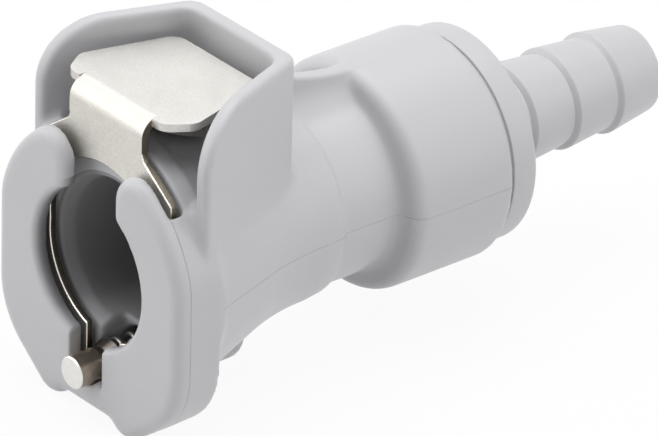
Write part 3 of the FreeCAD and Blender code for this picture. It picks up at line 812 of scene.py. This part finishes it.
@dataclass
class FrontHousing:
    """The front moulding: its solid's surface, cast again with a moulding's soft edges and root fillets."""

    voxel: float = 0.19 * MM
    kept_share: float = 0.55
    edge_passes: int = 3
    root_passes: int = 14
    root_share: float = 0.55
    relax: float = 0.5
    outside_radius: float = 7.0 * MM
    outside_run: float = 0.3 * MM
    root_span: tuple[float, float] = (3.6 * MM, 24.6 * MM)
    root_run: float = 0.5 * MM
    normals_every: int = 10
    guard_front: float = 2.75 * MM
    guard_top: float = 15.12 * MM
    guard_slope: float = 0.37
    guard_inner: float = 6.5 * MM
    corner_before: float = 3.6 * MM
    corner_after: float = 5.0 * MM
    corner_depth: float = 2.0 * MM
    finish: MouldedAcetal = field(default_factory=MouldedAcetal)

    def build(self) -> bpy.types.Object:
        """Builds the piece in place of the CAD node.

        Returns:
            The piece.
        """
        cast = on_scene("housing_cast", mesh_of("housing_cast", merged_copy("front_housing")))
        remesh = cast.modifiers.new("cast", "REMESH")
        remesh.mode = "VOXEL"
        remesh.voxel_size = self.voxel
        mesh = evaluated(cast)
        self._soften(mesh)
        thinned = on_scene("housing_thinned", mesh)
        thin = thinned.modifiers.new("thin", "DECIMATE")
        thin.ratio = self.kept_share
        mesh = evaluated(thinned)
        mesh.shade_smooth()
        made = piece_from("front_moulding", mesh, self.finish.material(), "housing")
        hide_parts("front_housing")
        return made

    def _soften(self, mesh: bpy.types.Mesh) -> None:
        """Rounds the outer edges a little and fills the inner roots with a fillet.

        Args:
            mesh: The cast mesh, which is changed.
        """
        count = len(mesh.vertices)
        places = np.empty(count * 3)
        mesh.vertices.foreach_get("co", places)
        places = places.reshape(-1, 3)
        edges = np.empty(len(mesh.edges) * 2, dtype=np.int32)
        mesh.edges.foreach_get("vertices", edges)
        a, b = edges.reshape(-1, 2).T
        degree = np.bincount(a, minlength=count) + np.bincount(b, minlength=count)

        def pull(at: np.ndarray) -> np.ndarray:
            """The way from each point to the middle of its neighbours.

            Args:
                at: The points.

            Returns:
                One way for each.
            """
            total = np.empty_like(at)
            for k in range(3):
                total[:, k] = np.bincount(a, at[b, k], count) + np.bincount(b, at[a, k], count)
            return total / degree[:, None] - at

        for _ in range(self.edge_passes):
            places = places + self.relax * pull(places)
        radius = np.hypot(places[:, 0], places[:, 2])
        low, high = self.root_span
        along = np.minimum(places[:, 1] - low, high - places[:, 1])
        share = np.clip(along / self.root_run, 0, 1) * self.root_share
        share *= np.clip((radius - self.outside_radius) / self.outside_run, 0, 1)
        for turn in range(self.root_passes):
            if turn % self.normals_every == 0:
                mesh.vertices.foreach_set("co", places.ravel())
                mesh.update()
                normals = np.empty(count * 3)
                mesh.vertices.foreach_get("normal", normals)
                normals = normals.reshape(-1, 3)
            step = pull(places)
            inward = np.einsum("ij,ij->i", step, normals) > 0
            places = places + step * (share * inward)[:, None]
        self._round_guard(places)
        mesh.vertices.foreach_set("co", places.ravel())
        mesh.update()

    def _round_guard(self, places: np.ndarray) -> None:
        """Draws the guard's two front corners in to a larger arc, along each wall.

        Args:
            places: The mesh's points, which are changed.
        """
        radius = self.corner_after
        x, y, z = places.T
        across = self.guard_front + radius - y
        up = z - (self.guard_top - radius)
        far = np.hypot(across, up)
        inner = radius - self.corner_depth
        chosen = (across > 0) & (up > 0) & (np.abs(x) > self.guard_inner) & (far > inner)
        cos, sin = across[chosen] / far[chosen], up[chosen] / far[chosen]
        shift = radius - self.corner_before
        along = shift * (cos + sin)
        arc = along + np.sqrt(np.maximum(along**2 - 2 * shift**2 + self.corner_before**2, 0))
        before = np.where(arc * sin < shift, radius / np.maximum(cos, 1e-6), arc)
        before = np.where(arc * cos < shift, radius / np.maximum(sin, 1e-6), before)
        after = inner + (far[chosen] - inner) * (radius - inner) / (before - inner)
        moved_y = self.guard_front + radius - after * cos
        places[chosen, 0] -= np.sign(x[chosen]) * self.guard_slope * (moved_y - y[chosen])
        places[chosen, 2] = self.guard_top - radius + after * sin
        places[chosen, 1] = moved_y


@dataclass
class BarbEnd:
    """The rear moulding: spigot, grooved flange and a barb whose teeth repeat along it, in millimetres."""

    steps: int = 144
    bore: float = 2.4
    bore_start: float = 31.8
    flow_radius: float = 4.4
    spigot_start: float = 25.3
    spigot_radius: float = 7.35
    seal_groove: tuple[float, float] = (27.65, 29.55)
    seal_groove_radius: float = 5.9
    collar_face: float = 32.6
    flange_groove_radius: float = 8.12
    flange_start: float = 33.2
    flange_end: float = 35.4
    flange_radius: float = 8.35
    flange_rounding: float = 0.35
    root_rounding: float = 0.5
    edge_rounding: float = 0.1
    valley: float = 3.6
    crest: float = 3.97
    first_crest: float = 39.3
    pitch: float = 4.2
    teeth: int = 3
    step_run: float = 0.35
    sunk: float = 0.3
    crest_rounding: float = 0.2
    tip: float = 52.0
    tip_radius: float = 3.35
    tip_rounding: float = 0.55
    sharp_angle: float = math.radians(50)
    # The rear moulding has no painted shade in its bore.
    finish: MouldedAcetal = field(
        default_factory=lambda: MouldedAcetal(name="moulded_acetal_rear", mould_lines=False, bore_shade_share=0.0)
    )

    def _core(self) -> bpy.types.Mesh:
        """The turned body, with the last tooth's slope running on to the tip.

        Returns:
            Its mesh.
        """
        last = self.first_crest + (self.teeth - 1) * self.pitch
        groove_low, groove_high = self.seal_groove
        edge, half_edge = self.edge_rounding, self.edge_rounding / 2
        profile = rounded(
            [
                (self.spigot_start, self.flow_radius, 0.0),
                (self.spigot_start, self.spigot_radius, edge),
                (groove_low, self.spigot_radius, half_edge),
                (groove_low, self.seal_groove_radius, edge),
                (groove_high, self.seal_groove_radius, edge),
                (groove_high, self.spigot_radius, half_edge),
                (self.collar_face, self.spigot_radius, 0.0),
                (self.collar_face, self.flange_groove_radius, 0.0),
                (self.flange_start, self.flange_groove_radius, edge * 0.8),
                (self.flange_start, self.flange_radius, edge * 1.2),
                (self.flange_end, self.flange_radius, self.flange_rounding),
                (self.flange_end, self.valley, self.root_rounding),
                (last - self.step_run, self.valley, self.crest_rounding),
                (last, self.crest, self.crest_rounding),
                (self.tip, self.tip_radius, self.tip_rounding),
                (self.tip, self.bore, edge * 1.2),
                (self.bore_start, self.bore, 0.0),
            ]
        )
        return revolve("barb_core", profile, self.steps)

    def _tooth(self) -> bpy.types.Mesh:
        """The first tooth, as a ring round the core.

        Returns:
            Its mesh.
        """
        step = self.first_crest - self.step_run
        sunk = self.valley - self.sunk
        profile = rounded(
            [
                (step - 0.05, sunk, 0.0),
                (step, self.valley, self.crest_rounding),
                (self.first_crest, self.crest, self.crest_rounding),
                (step + self.pitch, self.valley, 0.0),
                (step + self.pitch, sunk, 0.0),
            ]
        )
        return revolve("barb_tooth", profile, self.steps)

    @staticmethod
    def _tree(material: bpy.types.Material) -> bpy.types.NodeTree:
        """The tree that repeats a tooth along the barb.

        Args:
            material: The moulding's material.

        Returns:
            The tree.
        """
        raw = bpy.data.node_groups.new("repeat_teeth", "GeometryNodeTree")
        tree = Tree(raw)
        raw.interface.new_socket(name="Geometry", in_out="INPUT", socket_type="NodeSocketGeometry")
        raw.interface.new_socket(name="Teeth", in_out="INPUT", socket_type="NodeSocketInt")
        raw.interface.new_socket(name="Pitch", in_out="INPUT", socket_type="NodeSocketFloat")
        raw.interface.new_socket(name="Geometry", in_out="OUTPUT", socket_type="NodeSocketGeometry")
        given = tree.node("NodeGroupInput", {}, {})
        offset = tree.vector(0.0, given.out("Pitch"), 0.0)
        line = {"Count": given.out("Teeth"), "Offset": offset}
        spots = tree.node("GeometryNodeMeshLine", {"mode": "OFFSET"}, line)
        tooth = {"Points": spots.out(0), "Instance": given.out("Geometry")}
        laid = tree.node("GeometryNodeInstanceOnPoints", {}, tooth)
        real = tree.node("GeometryNodeRealizeInstances", {}, {0: laid.out(0)})
        done = tree.node("GeometryNodeSetMaterial", {}, {"Geometry": real.out(0), "Material": material})
        tree.node("NodeGroupOutput", {}, {0: done.out(0)})
        return raw

    def build(self) -> bpy.types.Object:
        """Builds the piece in place of the CAD node.

        Returns:
            The piece.
        """
        material = self.finish.material()
        sizes = {"Teeth": self.teeth - 1, "Pitch": self.pitch * MM}
        teeth = grown("teeth", self._tree(material), sizes, self._tooth())
        work = bmesh.new()
        work.from_mesh(self._core())
        work.from_mesh(teeth)
        mesh = mesh_of("barb_moulding", work)
        mesh.shade_smooth()
        mesh.set_sharp_from_angle(angle=self.sharp_angle)
        made = piece_from("barb_moulding", mesh, material, "housing")
        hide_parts("barb_end")
        return made


@dataclass
class ThumbLatch:
    """The folded sheet, with its cut edges broken, most of all round the plate."""

    edge: float = 0.09 * MM
    plate_edge: float = 0.12 * MM
    plate_top: float = 10.8 * MM
    plate_back: float = 3.2 * MM
    edge_steps: int = 3
    sharp_angle: float = math.radians(40)
    flat_angle: float = math.radians(1.5)
    finish: StampedSteel = field(default_factory=StampedSteel)

    def _on_plate_rim(self, edge: bmesh.types.BMEdge) -> bool:
        """Whether an edge is a sharp one on the plate, below the bend.

        Args:
            edge: The edge.

        Returns:
            True for an edge of the plate's rim.
        """
        low = all(v.co.z < self.plate_top and v.co.y < self.plate_back for v in edge.verts)
        return low and edge.calc_face_angle(0.0) > self.sharp_angle

    def build(self) -> bpy.types.Object:
        """Builds the latch in place of the CAD node.

        Returns:
            The piece.
        """
        work = merged_copy("thumb_latch")
        bmesh.ops.dissolve_limit(work, angle_limit=self.flat_angle, verts=work.verts, edges=work.edges)
        rim = [edge for edge in work.edges if self._on_plate_rim(edge)]
        broken = {"offset": self.plate_edge, "segments": self.edge_steps, "profile": 0.5}
        bmesh.ops.bevel(work, geom=rim, affect="EDGES", clamp_overlap=False, **broken)
        mesh = mesh_of("latch_blank", work)
        blank = on_scene("latch_blank", mesh)
        bevel = blank.modifiers.new("edge", "BEVEL")
        bevel.width = self.edge
        bevel.segments = self.edge_steps
        bevel.limit_method = "ANGLE"
        bevel.angle_limit = self.sharp_angle
        weights = blank.modifiers.new("weights", "WEIGHTED_NORMAL")
        weights.keep_sharp = True
        mesh.shade_smooth()
        mesh = evaluated(blank)
        made = piece_from("latch_sheet", mesh, self.finish.material(), "latch")
        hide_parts("thumb_latch")
        return made


@dataclass
class LockPin:
    """The turned lock pin, in millimetres; its length, collar and axis come from the solid."""

    shank_radius: float = 1.25
    nose_chamfer: float = 0.1
    cone_start: float = 1.4
    cone_end: float = 2.3
    collar_end: float = 2.5
    tail_radius: float = 0.85
    edge_rounding: float = 0.05
    root_rounding: float = 0.1
    sharp_angle: float = math.radians(60)
    steps: int = 72
    finish: TurnedSteel = field(default_factory=TurnedSteel)

    def build(self) -> bpy.types.Object:
        """Builds the pin in place of the CAD node.

        Returns:
            The piece.
        """
        low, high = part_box("lock_pin")
        nose, tail_end = low[1] / MM, high[1] / MM
        collar_radius = (high[0] - low[0]) / 2 / MM
        axis_z = (high[2] + low[2]) / 2 / MM
        edge, root = self.edge_rounding, self.root_rounding
        profile = rounded(
            [
                (nose, 0.0, 0.0),
                (nose, self.shank_radius - self.nose_chamfer, edge),
                (nose + self.nose_chamfer, self.shank_radius, edge),
                (self.cone_start, self.shank_radius, root),
                (self.cone_end, collar_radius, edge),
                (self.collar_end, collar_radius, edge),
                (self.collar_end, self.tail_radius, 0.0),
                (tail_end, self.tail_radius, root),
                (tail_end, 0.0, 0.0),
            ]
        )
        mesh = revolve("pin_turned", profile, self.steps, axis_z)
        mesh.set_sharp_from_angle(angle=self.sharp_angle)
        made = piece_from("pin_turned", mesh, self.finish.material(), "pin")
        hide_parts("lock_pin")
        return made


@dataclass
class PinSpring:
    """The coil behind the pin, wound along its channel.

    Its first turns ride on the pin and the rest on the housing. The slack between the two, hidden in the
    channel, is what the pin's travel takes up.
    """

    start_y: float = 2.55
    end_y: float = 11.15
    axis_z: float = -8.1
    mean_radius: float = 1.22
    wire: float = 0.34
    pitch: float = 1.3
    front_turns: int = 3
    cut: float = 0.07
    slack: float = 0.4
    turn_points: int = 40
    wire_points: int = 14
    finish: DrawnWire = field(default_factory=DrawnWire)

    def _tree(self, material: bpy.types.Material) -> bpy.types.NodeTree:
        """The tree that winds the coil.

        Args:
            material: The wire's material.

        Returns:
            The tree.
        """
        raw = bpy.data.node_groups.new("wind_coil", "GeometryNodeTree")
        tree = Tree(raw)
        for label in ("Turns", "Length", "Mean Radius", "Wire Radius"):
            raw.interface.new_socket(name=label, in_out="INPUT", socket_type="NodeSocketFloat")
        raw.interface.new_socket(name="Geometry", in_out="OUTPUT", socket_type="NodeSocketGeometry")
        given = tree.node("NodeGroupInput", {}, {})
        coil = tree.node(
            "GeometryNodeCurveSpiral",
            {},
            {
                "Resolution": self.turn_points,
                "Rotations": given.out("Turns"),
                "Start Radius": given.out("Mean Radius"),
                "End Radius": given.out("Mean Radius"),
                "Height": given.out("Length"),
            },
        )
        wire = {"Resolution": self.wire_points, "Radius": given.out("Wire Radius")}
        section = tree.node("GeometryNodeCurvePrimitiveCircle", {}, wire)
        swept = {"Curve": coil.out(0), "Profile Curve": section.out(0), "Fill Caps": True}
        tube = tree.node("GeometryNodeCurveToMesh", {}, swept)
        real = tree.node("GeometryNodeRealizeInstances", {}, {0: tube.out(0)})
        done = tree.node("GeometryNodeSetMaterial", {}, {"Geometry": real.out(0), "Material": material})
        tree.node("NodeGroupOutput", {}, {0: done.out(0)})
        return raw

    def _wind(self, name: str, start: float, turns: float, body: str) -> bpy.types.Object:
        """Winds some of the turns.

        Args:
            name: The piece's name.
            start: Where the wire starts along Y, in millimetres.
            turns: How many turns it makes.
            body: The body that they ride on.

        Returns:
            The piece.
        """
        material = self.finish.material()
        sizes = {
            "Turns": turns,
            "Length": turns * self.pitch * MM,
            "Mean Radius": self.mean_radius * MM,
            "Wire Radius": self.wire / 2 * MM,
        }
        mesh = grown("coil", self._tree(material), sizes)
        mesh.transform(
            Matrix.Translation((0.0, (start + self.wire / 2) * MM, self.axis_z * MM))
            @ Matrix.Rotation(math.radians(-90), 4, "X")
        )
        mesh.shade_smooth()
        return piece_from(name, mesh, material, body)

    def build(self) -> bpy.types.Object:
        """Winds the spring in place of the CAD node.

        Returns:
            The rear piece, which stays with the housing.
        """
        self._wind("coil_front", self.start_y, self.front_turns - self.cut, "pin")
        rear_start = self.start_y + self.front_turns * self.pitch + self.slack
        turns = (self.end_y - rear_start - self.wire) / self.pitch
        made = self._wind("coil_rear", rear_start, turns, "housing")
        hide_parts("pin_spring")
        return made


def grown(
    name: str, tree: bpy.types.NodeTree, sizes: dict[str, float], base: bpy.types.Mesh | None = None
) -> bpy.types.Mesh:
    """Bakes a geometry tree to a plain mesh.

    Args:
        name: A name for the work object.
        tree: The tree.
        sizes: Values of its named inputs.
        base: The mesh that the tree works on, where it needs one.

    Returns:
        The mesh.
    """
    host = on_scene(name, base or bpy.data.meshes.new(name))
    modifier = host.modifiers.new("grow", "NODES")
    modifier.node_group = tree
    for item in tree.interface.items_tree:
        if item.item_type == "SOCKET" and item.in_out == "INPUT" and item.name in sizes:
            modifier[item.identifier] = sizes[item.name]
    host.update_tag()
    bpy.context.view_layer.update()
    return evaluated(host)


@dataclass
class SealRing:
    """The rubber ring between the spigot and the collar, in millimetres."""

    mean_radius: float = 6.65
    section: float = 0.73
    y: float = 28.6
    section_steps: int = 28
    steps: int = 96
    finish: SealRubber = field(default_factory=SealRubber)

    def build(self) -> bpy.types.Object:
        """Builds the ring in place of the CAD node.

        Returns:
            The piece.
        """
        profile = []
        for k in range(self.section_steps):
            turn = 2 * math.pi * k / self.section_steps
            across = self.mean_radius + self.section * math.cos(turn)
            profile.append((self.y + self.section * math.sin(turn), across))
        mesh = revolve("seal_ring", profile, self.steps)
        made = piece_from("seal_ring", mesh, self.finish.material(), "housing")
        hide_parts("housing_seal")
        return made


@dataclass
class Studio:
    """The plain pale floor, the soft lamps, the white background and the camera."""

    floor_gap: float = 0.02 * MM
    floor_half: float = 3.0
    floor_tone: float = 0.8
    floor_glow: float = 0.93
    azimuth: float = 49.885
    elevation: float = 28.611
    roll: float = 1.523
    focal_pixels: float = 9000.0
    image_width: float = 658.0
    sensor_width: float = 36.0
    clip: tuple[float, float] = (0.01, 20.0)
    distance: float = 0.6523
    target: tuple[float, float, float] = (4.216 * MM, 19.05 * MM, -0.21 * MM)
    world_strength: float = 0.16
    world_tone: tuple[float, float, float, float] = (0.97, 0.98, 1.0, 1.0)
    lamp_aim: tuple[float, float, float] = (0.0, 0.018, 0.0)
    lamps: tuple[tuple[str, tuple[float, float, float], float, float], ...] = (
        ("top", (-0.05, 0.05, 0.45), 0.60, 2.25),
        ("left", (-0.34, -0.38, 0.16), 0.85, 2.6),
        ("right", (0.40, 0.24, 0.26), 0.60, 1.2),
    )

    def build(self) -> None:
        """Builds the floor, the lamps, the world and the camera."""
        self._floor()
        self._world()
        for name, place, size, power in self.lamps:
            self._lamp(name, place, size, power)
        self._camera()
        bpy.context.scene.view_settings.view_transform = "Standard"

    def _floor(self) -> None:
        """Makes the floor, white to the camera and pale to the light."""
        mesh = bpy.data.meshes.new("floor")
        half = self.floor_half
        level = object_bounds()[0][2] - self.floor_gap
        corners = [(-half, -half, level), (half, -half, level), (half, half, level), (-half, half, level)]
        mesh.from_pydata(corners, [], [(0, 1, 2, 3)])
        floor = on_scene("floor", mesh)
        made = bpy.data.materials.new("pale_floor")
        made.use_nodes = True
        made.node_tree.nodes.clear()
        tree = Tree(made.node_tree)
        tone = (self.floor_tone, self.floor_tone, self.floor_tone, 1.0)
        pale = tree.node("ShaderNodeBsdfDiffuse", {}, {"Color": tone})
        white = tree.node("ShaderNodeEmission", {}, {"Color": (1.0, 1.0, 1.0, 1.0), "Strength": 1.0})
        glow = tree.seen_straight() * self.floor_glow
        both = tree.node("ShaderNodeMixShader", {}, {0: glow, 1: pale, 2: white})
        tree.node("ShaderNodeOutputMaterial", {}, {"Surface": both.out(0)})
        mesh.materials.append(made)
        floor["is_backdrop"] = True

    def _world(self) -> None:
        """Makes the world: soft fill, and white wherever it is seen."""
        world = bpy.data.worlds.new("studio")
        bpy.context.scene.world = world
        world.use_nodes = True
        world.node_tree.nodes.clear()
        tree = Tree(world.node_tree)
        soft = {"Color": self.world_tone, "Strength": self.world_strength}
        fill = tree.node("ShaderNodeBackground", {}, soft)
        white = tree.node("ShaderNodeBackground", {}, {"Color": (1.0, 1.0, 1.0, 1.0), "Strength": 1.0})
        both = tree.node("ShaderNodeMixShader", {}, {0: tree.seen_straight(), 1: fill, 2: white})
        tree.node("ShaderNodeOutputWorld", {}, {"Surface": both.out(0)})

    def _lamp(self, name: str, place: tuple[float, float, float], size: float, power: float) -> None:
        """Makes a soft lamp that faces the part.

        Args:
            name: The lamp's name.
            place: Where it stands, in metres.
            size: Its width, in metres.
            power: Its power, in watts.
        """
        data = bpy.data.lights.new(name, "AREA")
        data.shape = "DISK"
        data.size = size
        data.energy = power
        lamp = bpy.data.objects.new(name, data)
        lamp.location = place
        lamp.rotation_mode = "QUATERNION"
        aim = Vector(self.lamp_aim) - Vector(place)
        lamp.rotation_quaternion = aim.to_track_quat("-Z", "Y")
        bpy.context.scene.collection.objects.link(lamp)

    def _camera(self) -> None:
        """Makes the camera at the photograph's angle."""
        a, e, r = (math.radians(v) for v in (self.azimuth, self.elevation, self.roll))
        back = Vector((math.sin(a) * math.cos(e), -math.cos(a) * math.cos(e), math.sin(e)))
        right = Vector((math.cos(a), math.sin(a), 0.0))
        up = back.cross(right)
        turned_right = right * math.cos(r) + up * math.sin(r)
        turned_up = up * math.cos(r) - right * math.sin(r)
        data = bpy.data.cameras.new("camera")
        data.sensor_width = self.sensor_width
        data.lens = self.focal_pixels / self.image_width * self.sensor_width
        data.clip_start, data.clip_end = self.clip
        camera = bpy.data.objects.new("camera", data)
        turn = Matrix((turned_right, turned_up, back)).transposed().to_4x4()
        camera.matrix_world = Matrix.Translation(Vector(self.target) + back * self.distance) @ turn
        bpy.context.scene.collection.objects.link(camera)
        bpy.context.scene.camera = camera


def main() -> None:
    """Builds the dressed part and the studio, in order."""
    logging.basicConfig(level=logging.INFO, format="%(name)s %(message)s")
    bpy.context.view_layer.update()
    for part in (FrontHousing(), BarbEnd(), ThumbLatch(), LockPin(), PinSpring(), SealRing()):
        part.build()
    Studio().build()
    bpy.context.view_layer.update()


if __name__ == "__main__":
    main()
